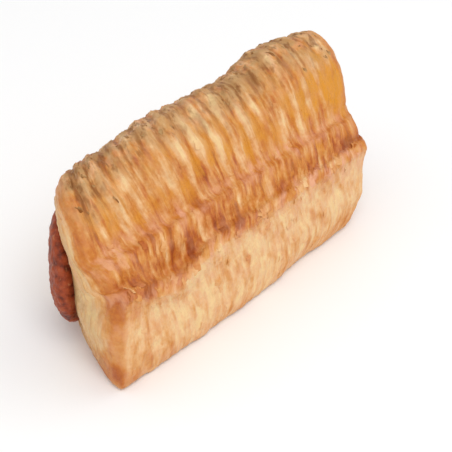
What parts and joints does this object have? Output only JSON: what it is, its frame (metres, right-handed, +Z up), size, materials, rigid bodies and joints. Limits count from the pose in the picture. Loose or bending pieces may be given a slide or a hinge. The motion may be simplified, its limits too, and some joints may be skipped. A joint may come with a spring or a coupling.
{
  "type": "sausage roll",
  "caption": "Baked sausage roll: domed puff pastry, scored on the slant across its top and lapped along one side, round a core of sausage meat that swells out at both cut ends.",
  "frame": {"origin": "on the flat underside, under the middle of the box round the whole roll", "axes": "+X along the roll towards its fuller end, -Y towards the lapped seam and the cut wall, +Z up from the surface it rests on"},
  "size_m": [0.1354, 0.0524, 0.0566],
  "materials": {
    "baked_pastry": "satin",
    "cooked_meat": "matte"
  },
  "bodies": {
    "root": {"pastry": "baked_pastry", "sausage_meat": "cooked_meat"}
  },
  "joints": []
}
